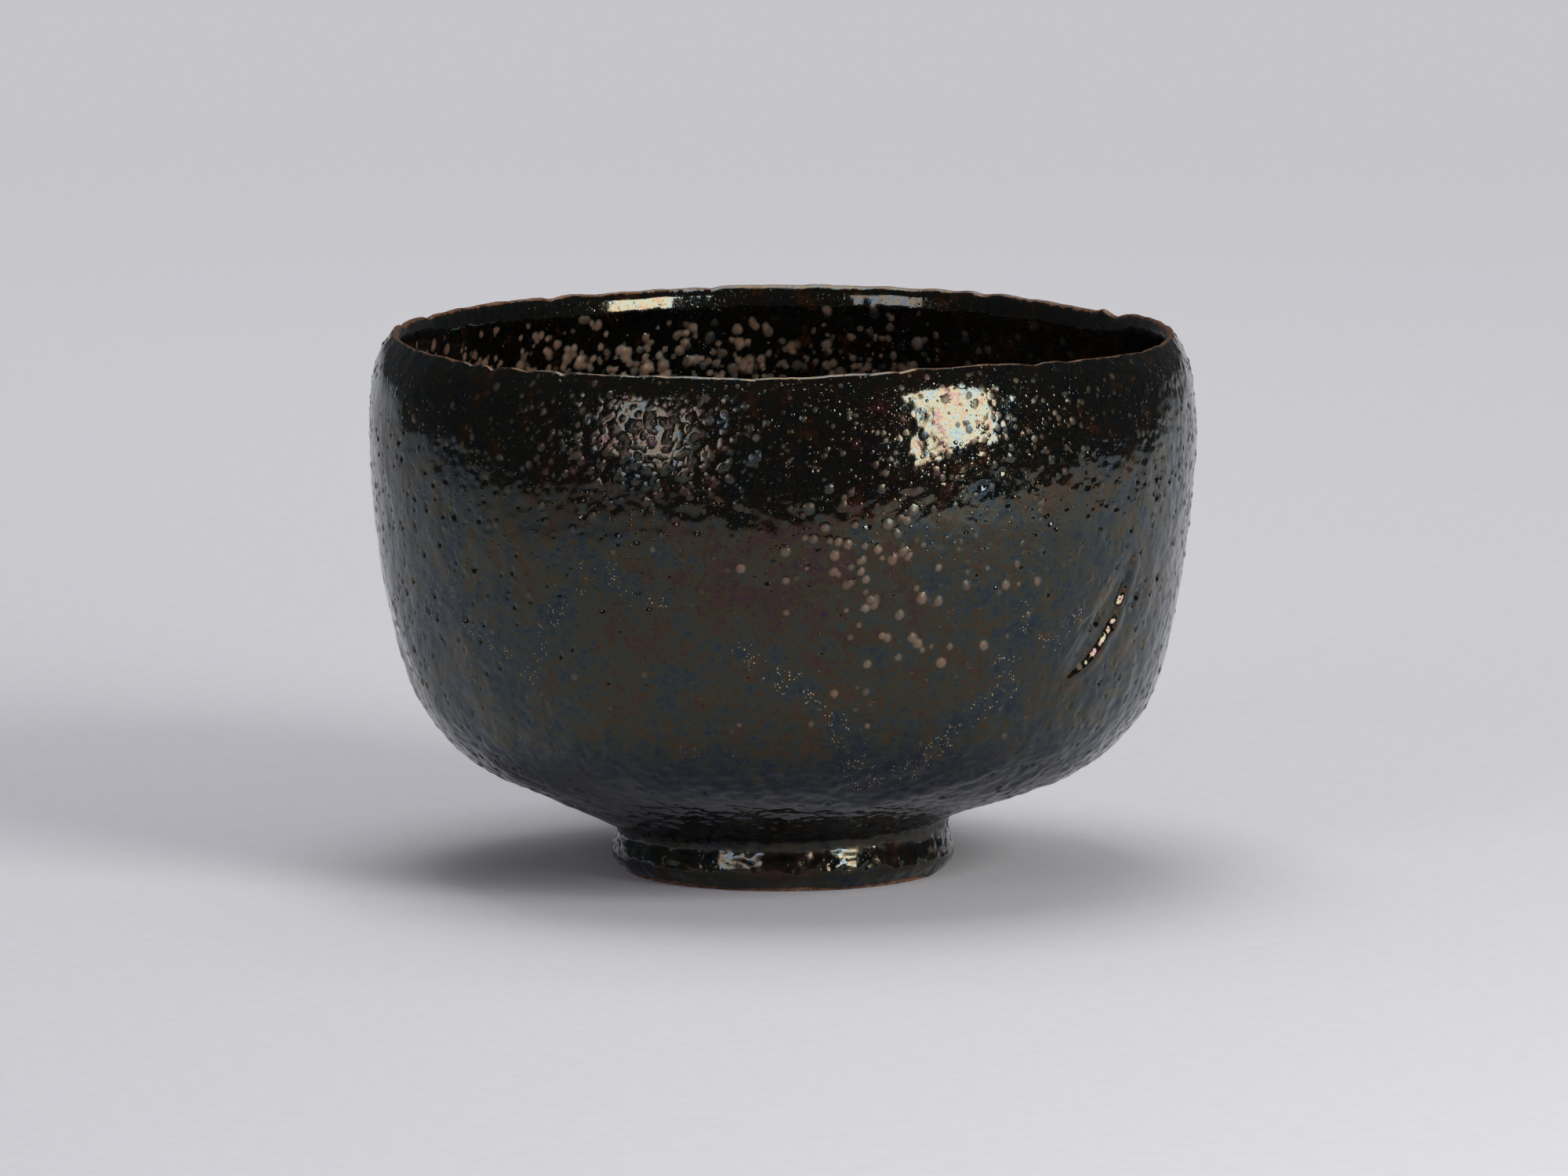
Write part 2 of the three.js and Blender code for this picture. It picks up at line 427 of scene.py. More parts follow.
# Nicks and small chips of the lip: angle in degrees, depth and width.
NICKS = [
    (-142, 0.35, 1.1), (-137.5, 0.5, 0.9), (-131, 0.3, 1.4), (-124, 0.4, 0.8), (-72, 0.2, 1.2),
    (-50, 0.25, 1.5), (-44, 0.2, 1.0), (29, 0.5, 1.6), (33, -0.35, 1.2), (58, 0.3, 1.5),
    (101, 0.25, 1.2), (128, 0.4, 1.6), (158, 0.35, 1.2), (171, 0.3, 1.8),
]


def lip_drop(angle):
    """How far the crest of the lip is lowered by nicks, large ones listed one by one and many small
    ones.
    """
    drop = np.zeros_like(angle)
    for degrees, depth, width in NICKS:
        drop += depth * bell(LIP_RADIUS * turn_from(degrees, angle) / width)
    circle = circle_points(LIP_RADIUS, angle)
    drop += 0.08 * np.clip(noise(circle, 1.1, 6.1), 0, 1) + 0.2 * noise(circle, 4.5, 1.9)
    return drop


# ---------------------------------------------------------------- relief of the glaze

def stamp(rings, arc, angle, reach, height, relief, tint, tone):
    """Adds one bubble, or one pit if the height is below zero, to the relief and to a tint."""
    first, last = np.searchsorted(rings.arcs, [arc - 1.5 * reach, arc + 1.5 * reach])
    for ring in range(first, last):
        count, radius = rings.counts[ring], rings.radius[rings.starts[ring]]
        span = int(1.5 * reach / radius * count / (2 * math.pi)) + 1
        middle = round(angle / (2 * math.pi) * count)
        picks = rings.starts[ring] + np.arange(middle - span, middle + span + 1) % count
        across = radius * np.arctan2(*[f(rings.angle[picks] - angle) for f in (np.sin, np.cos)])
        away = (np.hypot(across, rings.arcs[ring] - arc) + rings.wobble[picks]) / reach
        dome = np.clip(1 - away * np.abs(away), 0, 1) ** 1.3
        moat = -0.14 * np.sin(math.pi * np.clip((away - 1) / 0.5, 0, 1))
        relief[picks] += height * (dome + moat)
        tint[picks] = np.maximum(tint[picks], tone * np.clip(1.3 - away**2, 0, 1))


def scatter(number, low, high):
    """Places on the skin between two arc lengths, evenly spread over its area."""
    places = []
    widest = max(glaze.radius(a) for a in np.linspace(low, high, 9))
    while len(places) < number:
        arc = rng.uniform(low, high)
        if rng.uniform() * widest < glaze.radius(arc):
            places.append((arc, rng.uniform(0, 2 * math.pi)))
    return places


def arc_at_height(height):
    """The arc length at which the outside of the bowl passes a height."""
    arcs = np.linspace(glaze.length * 0.02, CREST, 400)
    heights = glaze.at(arcs, CAD_COLUMNS)[0][..., 1].mean(axis=0)
    return float(np.interp(height, heights, arcs))


def azimuth(degrees):
    """An angle in degrees as one in radians from 0 to a full turn."""
    return math.radians(degrees) % (2 * math.pi)


SHOULDER_TRIES = 5200
# How crowded the bubbles are at some heights, as a share of the tries that are kept.
CROWD_HEIGHTS = (30, 48, 58, 66, 76)
CROWD_SHARES = (0.05, 0.12, 0.5, 1, 1)


def shoulder_bubbles(rings, relief, tint):
    """Blisters in the thick glaze of the outside, most of them on the shoulder."""
    steps = [arc_at_height(height) for height in CROWD_HEIGHTS]
    for arc, angle in scatter(SHOULDER_TRIES, arc_at_height(CROWD_HEIGHTS[0]), CREST - 1):
        patchy = 0.75 + 0.5 * math.sin(2 * angle + 1) * math.sin(3 * angle + 0.4)
        if rng.uniform() < patchy * np.interp(arc, steps, CROWD_SHARES):
            reach = 0.28 + 0.62 * rng.beta(1.1, 3.6)
            height = reach * rng.uniform(0.1, 0.28)
            stamp(rings, arc, angle, reach, height, relief, tint, rng.uniform(0.1, 0.42))


FROTH_BUBBLES, FROTH_ANGLE, FROTH_HEIGHT = 420, -108, 71
CLUSTER_BUBBLES, CLUSTER_ANGLE, CLUSTER_HEIGHT = 75, -77, 51.5
STRAY_BUBBLES, FOOT_BUBBLES = 240, 900


def front_bubbles(rings, relief, tint):
    """A froth of crowded bubbles under the lip, on the left, and a loose cluster of larger blisters
    with tan tops in the middle of the front.
    """
    for _ in range(FROTH_BUBBLES):
        angle = azimuth(rng.normal(FROTH_ANGLE, 9))
        arc = arc_at_height(float(np.clip(rng.normal(FROTH_HEIGHT, 4), 62, 77)))
        reach = rng.uniform(0.22, 0.65)
        stamp(rings, arc, angle, reach, reach * rng.uniform(0.2, 0.35), relief, tint, 0.2)
    for _ in range(CLUSTER_BUBBLES):
        angle = azimuth(rng.normal(CLUSTER_ANGLE, 10))
        level = float(np.clip(rng.normal(CLUSTER_HEIGHT, 7.5), 34, 68))
        reach = rng.uniform(0.4, 0.92)
        tone = rng.uniform(0.45, 0.85) * (1 - 0.6 * smoothstep(54, 64, level))
        stamp(rings, arc_at_height(level), angle, reach, 0.26 * reach, relief, tint, tone)


def stray_bubbles(rings, relief, tint):
    """A few blisters all over the wall, and a rough grain of bubbles and pinholes on the foot."""
    for arc, angle in scatter(STRAY_BUBBLES, arc_at_height(25), arc_at_height(62)):
        reach = rng.uniform(0.35, 0.7)
        stamp(rings, arc, angle, reach, 0.2 * reach, relief, tint, rng.uniform(0.1, 0.6))
    for arc, angle in scatter(FOOT_BUBBLES, 0.8, arc_at_height(9)):
        reach = rng.uniform(0.22, 0.6)
        stamp(rings, arc, angle, reach, reach * rng.uniform(-0.3, 0.2), relief, tint, 0.1)


# Torn places beside the scoop of the spatula: angle, height and reach.
SCARS = [
    (-29.6, 44.5, 0.8), (-30.2, 43.2, 0.6), (-29.2, 45.8, 0.5),
    (-38.2, 41.6, 0.9), (-39.8, 40.6, 0.7), (-37, 42.6, 0.5),
]


PIT_TRIES = 3400


def pits(rings, relief, tint):
    """Pinholes where gas left the glaze, crowded on both sides of the front, and the torn places."""
    for arc, angle in scatter(PIT_TRIES, arc_at_height(10), arc_at_height(68)):
        crowded = bell(turn_from(-155, angle) / 0.6) + bell(turn_from(-24, angle) / 0.5)
        if rng.uniform() < 0.22 + 0.78 * crowded:
            reach = 0.28 + 0.5 * rng.beta(1.2, 3)
            stamp(rings, arc, angle, reach, -reach * rng.uniform(0.25, 0.55), relief, tint, 0)
    for degrees, level, reach in SCARS:
        stamp(rings, arc_at_height(level), azimuth(degrees), reach, -0.45 * reach, relief, tint, 0)


BLOTCH_TRIES = 15000
BLOTCH_PAINTED_LIGHT_ANGLE = math.radians(165)  # the angle at which the painted light on them is brightest


def inside_blotches(rings, relief, tint):
    """Low tan blisters, crowded on the wall and rare near the lip and on the floor. Their tan is painted
    paler on the side of the inside wall that the key light falls on.
    """
    low, high = CREST + 4, glaze.length - 26
    for arc, angle in scatter(BLOTCH_TRIES, low, high):
        depth = (arc - low) / (high - low)
        share = smoothstep(-0.03, 0.12, depth) * (1 - 0.8 * smoothstep(0.55, 0.95, depth))
        if rng.uniform() < share:
            reach = 0.28 + 1.1 * rng.beta(1.1, 3.2)
            # Painted light and shade: the tan is paler on the side of the inside wall that the key light
            # falls on, and darker away from it.
            shade = 0.55 + 0.4 * math.cos(angle - BLOTCH_PAINTED_LIGHT_ANGLE)
            stamp(rings, arc, angle, reach, 0.08 * reach, relief, tint, shade * rng.uniform(0.25, 0.9))


SAGGING_SIDE = -16  # the angle at which the waves reach up the wall


def peel(points):
    """The waviness of the glaze, from slow swells down to orange peel, stronger on the underside."""
    height = points[:, 2]
    angle = np.arctan2(points[:, 1], points[:, 0])
    low = smoothstep(40, 18, height)
    sagged = np.maximum(low, 0.6 * bell(turn_from(SAGGING_SIDE, angle) / 0.35))
    swell = 0.12 * noise(points, 16) + 0.09 * noise(points, 7, 5.3)
    ripple = 0.07 * noise(points, 3, 9.1) + 0.035 * noise(points, 1.4, 3.7)
    ripple = ripple * (1 + 0.8 * sagged) * (1 - 0.35 * smoothstep(62, 68, height))
    # Waves that are drawn out sideways.
    wave = 0.1 * noise(points * (1, 1, 2.2), 2.4, 6.6) + 0.04 * noise(points * (1, 1, 1.8), 1.3)
    return swell + ripple + wave * sagged


# Lines of dried specks along the edges of drips of the first coat, as (angle, height) points.
TIDE_LINES = [
    [(-155, 38), (-150, 43), (-145, 46), (-142, 42), (-138, 39), (-130, 35), (-124, 44), (-121, 48)],
    [(-121, 48), (-115, 51), (-113, 50), (-108, 47)],
    [(-96, 41), (-93, 39), (-88, 35), (-83, 31), (-80, 25), (-78, 22), (-71, 20), (-67, 23)],
    [(-67, 23), (-63, 28), (-58, 31), (-55, 33), (-57, 38)],
    [(-54, 44), (-48, 39), (-44, 43)],
    [(10, 40), (22, 30), (34, 26), (44, 34), (52, 45)],
    [(80, 38), (92, 27), (104, 24), (112, 33), (126, 41)],
    [(150, 33), (162, 26), (172, 35), (184, 42)],
]


def tide(angle, height, points):
    """How close a place is to a line of specks, from 0 to 1."""
    best = np.zeros_like(angle)
    wobble = 1.6 * noise(points, 6, 2.2)
    for line in TIDE_LINES:
        for (a0, h0), (a1, h1) in zip(line, line[1:]):
            x, y = BELLY_RADIUS * turn_from(a0, angle), height - h0 + wobble
            dx, dy = BELLY_RADIUS * math.radians(a1 - a0), h1 - h0
            t = np.clip((x * dx + y * dy) / (dx * dx + dy * dy), 0, 1)
            best = np.maximum(best, bell(np.hypot(x - t * dx, y - t * dy) / 3))
    return best


# ---------------------------------------------------------------- building the pieces

def follow_hand(rings):
    """What the hand did to clay and glaze alike: marks on the wall, nicks of the lip, a wavy foot."""
    if rings.profile is glaze:
        rings.position[:, 2] -= bell((rings.arc - CREST) / 2.2) * lip_drop(rings.angle)
        rings.relief += np.where(rings.arc < CREST, marks(rings.angle, rings.height), 0)
    edge = {glaze: 0, recess: recess.length}.get(rings.profile)
    if edge is not None:
        circle = circle_points(FOOT_RADIUS, rings.angle)
        wave = 0.28 * noise(circle, 7) + 0.12 * noise(circle, 2.2, 4.4)
        rings.position[:, 2] += bell((rings.arc - edge) / 1.5) * wave
    return rings


def glazed_skin():
    """The whole glazed surface from the foot over the lip to the floor, and the tints on it."""
    arcs = np.concatenate([fine_arcs(0, CREST), fine_arcs(CREST, glaze.length)[1:]])
    counts = [column_count(glaze.radius(arc), DETAIL) for arc in arcs]
    skin = follow_hand(Rings(glaze, arcs, counts))
    points = skin.placed()
    inside = skin.arc > CREST
    skin.wobble = np.where(inside, 0.3, 0.1) * noise(points, 1.2, 8.3)
    relief, blister = np.zeros(len(points)), np.zeros(len(points))
    shoulder_bubbles(skin, relief, blister)
    front_bubbles(skin, relief, blister)
    stray_bubbles(skin, relief, blister)
    pits(skin, relief, blister)
    inside_blotches(skin, relief, blister)
    # Glaze runs down into the pool of the floor, where it lies smooth.
    calm = 1 - 0.75 * smoothstep(glaze.length - 34, glaze.length - 12, skin.arc)
    skin.relief += calm * peel(points) + relief
    lip = bell((skin.arc - CREST - 0.2) / 0.9)
    specks = np.where(inside, 0, tide(skin.angle, skin.height, points))
    edges = np.maximum(lip, 0.45 * bell(skin.arc / 0.9))
    bubbly = smoothstep(34, 62, skin.height) + 0.35 * smoothstep(10, 7, skin.height)
    bubbly = np.where(inside, 0.5, bubbly)
    # The blister tint is the blisters' own tan, with painted light and shade on those inside the bowl.
    tints = {"blister": blister, "lip": edges, "specks": specks, "bubbly": bubbly}
    return skin, tints


def add_coat(name, skin, back, node, tints, material):
    """A closed coat of glaze from its visible skin and its back, in place of a CAD node."""
    on_axis = skin.counts[-1] == 1
    parts = [back, skin] if on_axis else [skin, back]
    obj = closed_mesh(name, parts, joined=1 not in (skin.counts[0], skin.counts[-1]))
    for tint, values in tints.items():
        add_attribute(obj, tint, parts, skin, values)
    finish_piece(obj, node, material)


def finish_piece(obj, node, material):
    obj.data.materials.append(material)
    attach(obj, "root")
    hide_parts(node)


def add_outer_and_inner_glaze():
    skin, tints = glazed_skin()
    crest = int(np.argmin(np.abs(skin.arcs - CREST)))
    last = len(skin.arcs) - 1
    count = skin.counts[crest]
    for name, node, first, end, material in [
        ("glaze_outside", "outer_glaze", 0, crest, outer_glaze_material()),
        ("glaze_inside", "inner_glaze", crest, last, inner_glaze_material()),
    ]:
        side = skin.cut(first, end)
        if node == "outer_glaze":
            back = hidden_rings(glaze, CREST, 0, COAT, count, skin.counts[0])
        else:
            back = hidden_rings(glaze, glaze.length, CREST, COAT, 1, count)
        side_tints = {tint: values[side.part] for tint, values in tints.items()}
        add_coat(name, side, back, node, side_tints, material)


def add_recess_glaze():
    arcs = fine_arcs(0, recess.length)
    counts = [column_count(recess.radius(arc), DETAIL) for arc in arcs]
    skin = follow_hand(Rings(recess, arcs, counts))
    skin.relief += 0.5 * peel(skin.placed())
    edge = bell((skin.arc - recess.length) / 1.3)
    tints = {"blister": 0 * edge, "lip": edge, "specks": 0 * edge, "bubbly": 0 * edge}
    back = hidden_rings(recess, recess.length, 0, COAT, counts[-1], 1)
    add_coat("glaze_in_foot_recess", skin, back, "foot_recess_glaze", tints, recess_glaze_material())


def add_clay():
    """The clay under the glaze, bare and sandy on the ring that the bowl stands on."""
    arcs = fine_arcs(0, sole.length)
    count = column_count(sole.radius(sole.length), DETAIL)
    ring = Rings(sole, arcs, [count] * len(arcs))
    grit = np.abs(noise(ring.position, 0.9)) + np.abs(noise(ring.position, 2.5, 7.7))
    ring.relief -= 0.06 * grit
    under = hidden_rings(recess, 0, recess.length, CLAY_DEPTH, 1, count)
    over = hidden_rings(glaze, 0, glaze.length, CLAY_DEPTH, count, 1)
    obj = closed_mesh("clay", [under, ring, over])
    finish_piece(obj, "clay_body", clay_material())


# ---------------------------------------------------------------- materials

class Shader:
    """Shorthand for the nodes of one material. Sizes of patterns are in mm."""

    def __init__(self, name):
        self.material = bpy.data.materials.new(name)
        self.material.use_nodes = True
        self.tree = self.material.node_tree
        self.tree.nodes.clear()
        self.surface = self.add("ShaderNodeBsdfPrincipled")
        output = self.add("ShaderNodeOutputMaterial", {"Surface": self.surface.outputs[0]})
        output.is_active_output = True
        self.place = self.add("ShaderNodeTexCoord").outputs["Object"]

    def add(self, kind, inputs=(), **settings):
        node = self.tree.nodes.new(kind)
        for key, value in settings.items():
            setattr(node, key, value)
        for key, value in dict(inputs).items():
            self.set(node.inputs[key], value)
        return node

    def set(self, socket, value):
        if isinstance(value, bpy.types.NodeSocket):
            self.tree.links.new(value, socket)
        else:
            socket.default_value = value

    def math(self, operation, *values, clamp=False):
        inputs = dict(enumerate(values))
        return self.add("ShaderNodeMath", inputs, operation=operation, use_clamp=clamp).outputs[0]

    def noise(self, size, detail=2.0, rough=0.5, twist=0.0, shift=0.0):
        place = self.place
        if shift:
            place = self.add("ShaderNodeVectorMath", {0: place, 1: (shift, shift, shift)}).outputs[0]
        inputs = {
            "Vector": place,
            "Scale": 1 / (size * MM),
            "Detail": detail,
            "Roughness": rough,
            "Distortion": twist,
        }
        return self.add("ShaderNodeTexNoise", inputs).outputs[0]

    def cells(self, size):
        """Distance to the nearest of scattered points in units of their spacing, and a random colour."""
        inputs = {"Vector": self.place, "Scale": 1 / (size * MM)}
        node = self.add("ShaderNodeTexVoronoi", inputs)
        return node.outputs["Distance"], node.outputs["Color"]

    def ramp(self, value, low, high, start=0.0, end=1.0):
        inputs = {"Value": value, "From Min": low, "From Max": high, "To Min": start, "To Max": end}
        return self.add("ShaderNodeMapRange", inputs, interpolation_type="SMOOTHSTEP").outputs[0]

    def mix(self, share, first, second):
        node = self.add("ShaderNodeMix", data_type="RGBA")
        for number, value in [(0, share), (6, first), (7, second)]:
            self.set(node.inputs[number], value)
        return node.outputs[2]

    def attribute(self, name):
        return self.add("ShaderNodeAttribute", attribute_name=name).outputs["Fac"]

    def domes(self, size, reach, kept):
        """Round domes from 0 to 1 scattered in space, on a share of the cells of a given size."""
        distance, colour = self.cells(size)
        chance = self.add("ShaderNodeSeparateColor", {"Color": colour}).outputs[0]
        radius = self.ramp(chance, 1 - kept, 1, 0.25 * reach, reach)
        away = self.math("DIVIDE", distance, radius)
        dome = self.math("SUBTRACT", 1, self.math("MULTIPLY", away, away), clamp=True)
        return self.math("MULTIPLY", dome, self.math("GREATER_THAN", chance, 1 - kept))

    def bump(self, *layers):
        """Bends the normal by the sum of heights in mm, given as pairs of a pattern and a size."""
        height = 0.0
        for pattern, size in layers:
            height = self.math("MULTIPLY_ADD", pattern, size, height)
        bump = self.add("ShaderNodeBump", {"Height": height, "Distance": MM, "Strength": 1.0})
        self.set(self.surface.inputs["Normal"], bump.outputs[0])


BLACK = (0.0009, 0.0008, 0.0008, 1)
OLIVE = (0.0022, 0.0019, 0.0014, 1)
INK_BLUE = (0.0008, 0.0018, 0.0036, 1)
RUST = (0.0135, 0.0048, 0.0022, 1)
TAN = (0.115, 0.075, 0.054, 1)
TERRACOTTA = (0.150, 0.086, 0.058, 1)
DULL_BROWN = (0.018, 0.015, 0.013, 1)
EDGE_BROWN = (0.120, 0.048, 0.018, 1)
SPECK = (0.36, 0.24, 0.15, 1)
CLAY = (0.11, 0.052, 0.03, 1)
SCORCHED_CLAY = (0.05, 0.026, 0.018, 1)
SAND = (0.22, 0.12, 0.066, 1)
GLAZE_IOR, FILM_IOR = 1.57, 1.48


class GlazeShader(Shader):
    """Thick black glaze with a thin lustre on it, browner where it runs thin.

    The lustre is a clear film, whose thickness in nm gives its colour. `tan_share` says how much of
    their colour the blisters show.
    """

    def __init__(self, name, film, tan_share, blister_colour=TAN):
        super().__init__(name)
        self.broad = self.noise(15, detail=3, rough=0.55, twist=0.4)
        self.patch = self.noise(4.2, detail=5, rough=0.65, shift=0.7)
        self.mottle = self.noise(1.1, detail=4, rough=0.7, twist=0.5, shift=0.3)
        self.grain = self.noise(0.35, detail=3, rough=0.6, shift=0.1)
        height = self.add("ShaderNodeSeparateXYZ", {"Vector": self.place}).outputs[2]
        self.height = self.math("DIVIDE", height, MM)
        self.tide_line = self.attribute("specks")
        self.blister = self.attribute("blister")
        self.dust = self.domes(0.34, 0.4, 0.55)
        self.speck = self.specks()
        self.neck = self.matt_neck()
        self.thin = self.thin_edges()
        self.set(self.surface.inputs["Base Color"], self.colour(tan_share, blister_colour))
        self.set(self.surface.inputs["Roughness"], self.roughness())
        self.set(self.surface.inputs["Thin Film Thickness"], self.film(*film))
        self.surface.inputs["IOR"].default_value = GLAZE_IOR
        self.surface.inputs["Thin Film IOR"].default_value = FILM_IOR
        small = self.math("MULTIPLY", self.domes(0.8, 0.42, 0.45), self.attribute("bubbly"))
        self.bump((self.noise(0.8, detail=2, shift=0.2), 0.012), (self.grain, 0.003), (small, 0.055),
                  (self.domes(1.9, 0.13, 0.5), -0.09), (self.dust, 0.01))

    def specks(self):
        """Dried specks, crowded along the tide lines and rare elsewhere."""
        gathered = self.ramp(self.noise(1.8, detail=2, shift=0.6), 0.4, 0.6)
        wanted = self.math("MULTIPLY", self.ramp(self.tide_line, 0.45, 0.95), gathered)
        few = self.ramp(self.noise(6, detail=2, shift=0.5), 0.5, 0.75, 0.0, 0.3)
        wanted = self.math("MAXIMUM", wanted, few)
        return self.ramp(self.math("MULTIPLY", self.dust, wanted), 0.12, 0.3)

    def matt_neck(self):
        """A dull band round the neck of the foot, where the glaze is thin."""
        band = self.math("MULTIPLY", self.ramp(self.height, 5.2, 6.4), self.ramp(self.height, 8.2, 7.2))
        return self.math("MULTIPLY", band, self.ramp(self.noise(2, detail=3), 0.3, 0.6))

    def thin_edges(self):
        """Ragged brown along the lip and the lower edges."""
        ragged = self.math("MULTIPLY_ADD", self.noise(1.6, detail=3, shift=0.9), 1.1, -0.55)
        return self.ramp(self.math("ADD", self.attribute("lip"), ragged), 0.62, 0.98)

    def colour(self, tan_share, blister_colour):
        blue = self.math("MULTIPLY_ADD", self.tide_line, 0.16, self.broad)
        hue = self.mix(self.ramp(blue, 0.58, 0.72), OLIVE, INK_BLUE)
        hue = self.mix(self.ramp(self.patch, 0.55, 0.65), hue, RUST)
        colour = self.mix(self.ramp(self.mottle, 0.4, 0.55), BLACK, hue)
        # The blister tint is the blisters' own tan; inside the bowl it also carries painted light and
        # shade.
        ragged = self.math("ADD", self.blister, self.math("MULTIPLY_ADD", self.mottle, 0.3, -0.15))
        top = self.math("MULTIPLY", self.ramp(ragged, 0.14, 0.8), tan_share)
        colour = self.mix(top, colour, blister_colour)
        colour = self.mix(self.neck, colour, DULL_BROWN)
        colour = self.mix(self.thin, colour, EDGE_BROWN)
        return self.mix(self.speck, colour, SPECK)

    def roughness(self):
        """Glossy, and duller on blisters, specks, thin edges and patches of the foot."""
        foot = self.math("MULTIPLY", self.ramp(self.height, 7, 6), self.ramp(self.patch, 0.42, 0.58))
        dull = self.math("MAXIMUM", self.speck, self.neck)
        dull = self.math("MAXIMUM", self.ramp(self.blister, 0.04, 0.26), dull)
        dull = self.math("MAXIMUM", dull, self.math("MULTIPLY", self.thin, 0.7))
        dull = self.math("MAXIMUM", dull, self.math("MULTIPLY", foot, 0.35))
        gloss = self.ramp(self.mottle, 0.3, 0.7, 0.06, 0.11)
        return self.math("MULTIPLY_ADD", dull, 0.32, gloss)

    def film(self, thinnest, thickest):
        film = self.math("MULTIPLY_ADD", self.broad, 0.16, self.math("MULTIPLY", self.patch, 0.45))
        film = self.math("MULTIPLY_ADD", self.mottle, 0.5, film)
        film = self.math("MULTIPLY_ADD", self.grain, 0.28, film)
        film = self.math("MULTIPLY_ADD", self.tide_line, -0.05, film)
        low = self.math("MULTIPLY", self.ramp(self.height, 8, 12), self.ramp(self.height, 28, 16))
        film = self.math("MULTIPLY_ADD", low, -0.1, film)
        return self.ramp(film, 0.5, 0.88, thinnest, thickest)


def outer_glaze_material():
    return GlazeShader("outer_glaze", (132, 280), 0.9).material


def inner_glaze_material():
    return GlazeShader("inner_glaze", (130, 260), 0.9, TERRACOTTA).material


def recess_glaze_material():
    return GlazeShader("recess_glaze", (130, 260), 0.5).material


def clay_material():
    """Bare fired clay: sandy, orange-brown and scorched darker in places."""
    shader = Shader("bare_clay")
    scorch = shader.ramp(shader.noise(5, detail=4, rough=0.6), 0.4, 0.65)
    sand = shader.ramp(shader.noise(0.4, detail=3), 0.45, 0.7)
    colour = shader.mix(scorch, CLAY, SCORCHED_CLAY)
    colour = shader.mix(sand, colour, SAND)
    shader.set(shader.surface.inputs["Base Color"], colour)
    shader.surface.inputs["Roughness"].default_value = 0.85
    shader.bump((shader.noise(0.5, detail=4), 0.06), (shader.domes(1.1, 0.4, 0.4), 0.05))
    return shader.material


# ---------------------------------------------------------------- studio

PAPER = (0.69, 0.684, 0.725, 1)
PAPER_GRAIN = (0.71, 0.704, 0.745, 1)
BACKGROUND = (0.562, 0.556, 0.59, 1)
# The colour of the painted shade on the floor.
PAINTED_FLOOR_SHADE = (0, 0, 0, 1)
ROOM_LIGHT = (0.97, 0.97, 1, 1)
# The softboxes: name, heading and elevation in degrees, distance and size in metres, radiance and
# colour.
SOFTBOXES = [
    ("key", 45.5, 23.5, 1.0, (0.4, 0.49), 14, (1.0, 0.985, 0.95)),
    ("fill", -33.5, 20, 1.3, (0.42, 0.5), 4.6, (0.92, 0.88, 1.0)),
    ("overhead", 203, 84, 1.3, (0.62, 0.78), 4.9, (1, 1, 1)),
]
LIT_PLACE = Vector((0, 0, 0.04))  # where the softboxes are aimed
BACKDROP_PLACE = Vector((0, 0.95, 1.35))
BACKDROP_SIZE = (1.6, 0.5)
BACKDROP_RADIANCE = 1.5
BACKDROP_SPREAD = 95


def add_floor():
    """A pale floor of paper. It fades out towards its edges, into the pale background."""
    half, front, back = 1.4, -1.1, 1.4
    corners = [(-half, front, 0), (half, front, 0), (half, back, 0), (-half, back, 0)]
    mesh = bpy.data.meshes.new("floor")
    mesh.from_pydata(corners, [], [(0, 1, 2, 3)])
    obj = bpy.data.objects.new("floor", mesh)
    bpy.context.scene.collection.objects.link(obj)
    shader = Shader("pale_paper")
    tone = shader.ramp(shader.noise(3, detail=4), 0.3, 0.7)
    colour = shader.mix(tone, PAPER, PAPER_GRAIN)
    x, y, _ = shader.add("ShaderNodeSeparateXYZ", {"Vector": shader.place}).outputs
    # Painted shade: the floor is darker to the left and towards the camera, where the studio's light
    # falls off.
    left, right = shader.ramp(x, -0.45, -0.13, 0.7, 0.86), shader.ramp(x, 0.13, 0.4, 0, 0.14)
    light = shader.math("MULTIPLY", shader.math("ADD", left, right), shader.ramp(y, -0.8, -0.25, 0.8, 1))
    shader.set(shader.surface.inputs["Base Color"], shader.mix(light, PAINTED_FLOOR_SHADE, colour))
    shader.surface.inputs["Roughness"].default_value = 0.9
    shader.surface.inputs["Specular IOR Level"].default_value = 0.1
    solid = shader.ramp(shader.math("ABSOLUTE", x), 0.6, 0.95, 1, 0)
    solid = shader.math("MULTIPLY", solid, shader.ramp(y, 0.3, 1.1, 1, 0))
    solid = shader.math("MULTIPLY", solid, shader.ramp(y, -1.04, -0.96))
    shader.set(shader.surface.inputs["Alpha"], solid)
    obj.data.materials.append(shader.material)


def add_area_light(name, size, radiance):
    """A rectangular light. It shines straight down until it is turned."""
    data = bpy.data.lights.new(name, "AREA")
    data.shape = "RECTANGLE"
    data.size, data.size_y = size
    data.energy = radiance * math.pi * data.size * data.size_y
    light = bpy.data.objects.new(name, data)
    bpy.context.scene.collection.objects.link(light)
    return light


def add_softbox(name, heading, elevation, distance, size, radiance, colour):
    """A softbox aimed at the bowl. Heading 0 is on the camera's side, and it grows to the right."""
    turn, rise = math.radians(heading), math.radians(elevation)
    way = Vector((math.cos(rise) * math.sin(turn), -math.cos(rise) * math.cos(turn), math.sin(rise)))
    light = add_area_light(name, size, radiance)
    light.data.color = colour
    light.location = way * distance + LIT_PLACE
    light.rotation_euler = (-way).to_track_quat("-Z", "Y").to_euler()


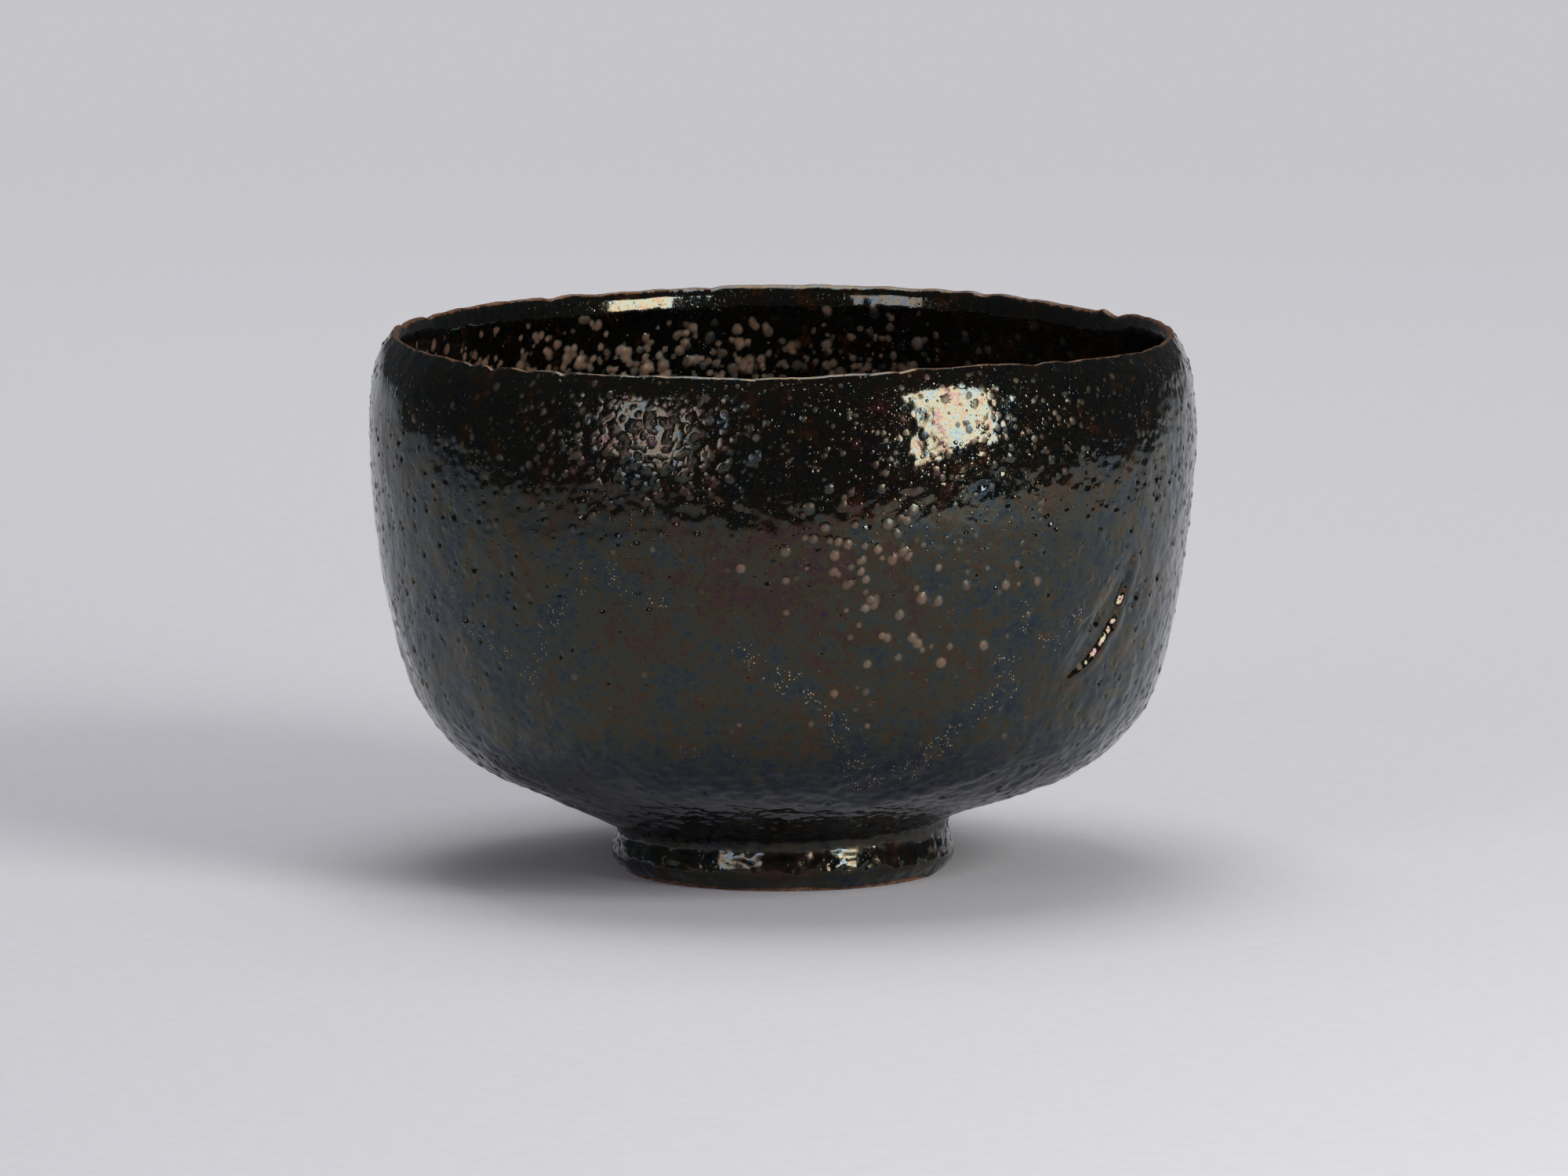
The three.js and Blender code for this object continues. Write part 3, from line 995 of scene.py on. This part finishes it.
def add_room():
    """A dark room, in which a pale floor goes on far behind the bowl. The shadows get more light than
    the reflections show, and the camera sees the same pale tone all round.
    """
    world = bpy.data.worlds.new("room")
    world.use_nodes = True
    tree = world.node_tree
    tree.nodes.clear()

    def add(kind, *values, **settings):
        node = tree.nodes.new(kind)
        for key, value in settings.items():
            setattr(node, key, value)
        for socket, value in zip(node.inputs, values):
            if isinstance(value, bpy.types.NodeSocket):
                tree.links.new(value, socket)
            elif value is not None:
                socket.default_value = value
        return node

    way = add("ShaderNodeTexCoord").outputs["Generated"]
    _, back, up = add("ShaderNodeSeparateXYZ", way).outputs
    behind = add("ShaderNodeMapRange", back, 0.6, 0.85, 0.0, 0.5).outputs[0]
    below = add("ShaderNodeMapRange", up, 0.05, -0.03, 0.0, 1.0).outputs[0]
    ceiling = add("ShaderNodeMapRange", up, 0.35, 0.8, 0.07, 0.08).outputs[0]
    glow = add("ShaderNodeMath", behind, below, ceiling, operation="MULTIPLY_ADD").outputs[0]
    mirrored = add("ShaderNodeBackground", ROOM_LIGHT, glow)
    soft = add("ShaderNodeBackground", ROOM_LIGHT, 0.18)
    seen = add("ShaderNodeBackground", BACKGROUND, 1.0)
    ray = add("ShaderNodeLightPath").outputs
    lit = add("ShaderNodeMixShader", ray["Is Glossy Ray"], soft.outputs[0], mirrored.outputs[0])
    shown = add("ShaderNodeMixShader", ray["Is Camera Ray"], lit.outputs[0], seen.outputs[0])
    add("ShaderNodeOutputWorld", shown.outputs[0])
    bpy.context.scene.world = world


def add_backdrop_light():
    """A strip that lights the floor behind the bowl from above."""
    light = add_area_light("backdrop", BACKDROP_SIZE, BACKDROP_RADIANCE)
    light.data.spread = math.radians(BACKDROP_SPREAD)
    light.location = BACKDROP_PLACE


def add_studio():
    add_floor()
    for softbox in SOFTBOXES:
        add_softbox(*softbox)
    add_backdrop_light()
    add_room()
    bpy.context.scene.view_settings.view_transform = "Standard"


add_camera()
add_studio()
add_outer_and_inner_glaze()
add_recess_glaze()
add_clay()
